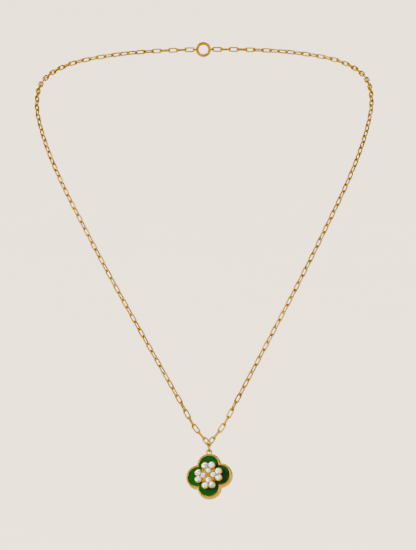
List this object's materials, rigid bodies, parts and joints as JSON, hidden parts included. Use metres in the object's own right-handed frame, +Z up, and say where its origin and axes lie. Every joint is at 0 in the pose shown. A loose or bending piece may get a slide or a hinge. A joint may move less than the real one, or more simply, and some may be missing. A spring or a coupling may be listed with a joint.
{
  "type": "charm necklace",
  "caption": "Fine oval-link chain necklace in its worn V, with a quatrefoil green enamel drop that carries a raised gold clover set with round stones.",
  "frame": {"origin": "the point of the nape that the clasp rests on", "axes": "+Z up, -Y to the wearer's front, +X to the wearer's left"},
  "size_m": [0.1288, 0.1541, 0.1498],
  "materials": {
    "gold": "polished warm yellow gold plating",
    "green_enamel": "glossy deep green enamel",
    "clear_stone": "clear faceted round stones"
  },
  "bodies": {
    "chain": {"chain_left": "gold", "chain_right": "gold", "clasp": "gold"},
    "ring": {"jump_ring": "gold"},
    "drop": {"pendant_frame": "gold", "enamel": "green_enamel", "stone_top_1": "clear_stone", "stone_top_2": "clear_stone", "stone_top_3": "clear_stone", "stone_left_1": "clear_stone", "stone_left_2": "clear_stone", "stone_left_3": "clear_stone", "stone_bottom_1": "clear_stone", "stone_bottom_2": "clear_stone", "stone_bottom_3": "clear_stone", "stone_right_1": "clear_stone", "stone_right_2": "clear_stone", "stone_right_3": "clear_stone"}
  },
  "joints": [
    {"name": "drop_sway", "type": "hinge", "parent": "chain", "child": "ring", "pos_m": [0, -0.14, -0.128], "axis": [-0.2079, -0.8384, 0.5038], "range_deg": [-30, 30]},
    {"name": "pendant_swing", "type": "hinge", "parent": "ring", "child": "drop", "pos_m": [0, -0.14125, -0.13008], "axis": [0.9781, -0.1782, 0.1071], "range_deg": [-60, 60]}
  ]
}
